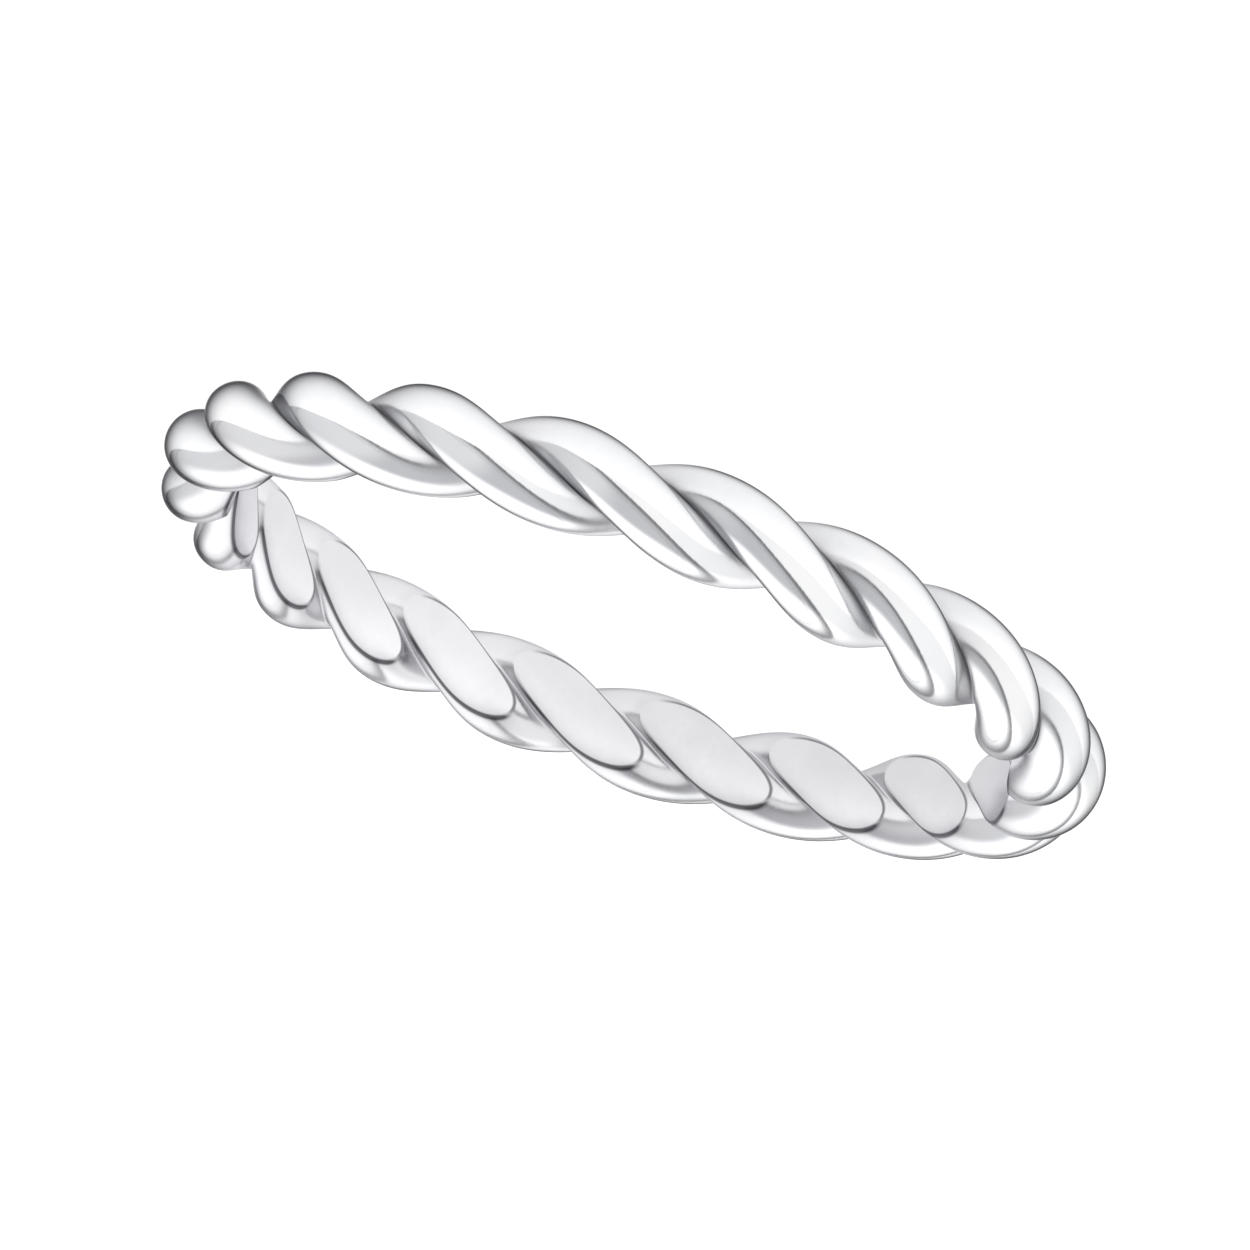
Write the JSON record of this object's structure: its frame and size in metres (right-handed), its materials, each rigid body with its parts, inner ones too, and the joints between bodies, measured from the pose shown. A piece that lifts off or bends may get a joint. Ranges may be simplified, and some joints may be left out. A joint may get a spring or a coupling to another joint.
{
  "type": "rope twist ring",
  "caption": "Slim polished silver finger ring made of strands twisted together like a rope, dressed round inside.",
  "frame": {"origin": "on the finger hole's axis, in the surface that the ring lies on", "axes": "+Z is the finger hole's axis, up from that surface; +X points at a crown where a strand touches the surface"},
  "size_m": [0.0207, 0.0208, 0.0022],
  "materials": {
    "polished_silver": "mirror polish with faint hairlines"
  },
  "bodies": {
    "root": {"rope_band": "polished_silver"}
  },
  "joints": []
}
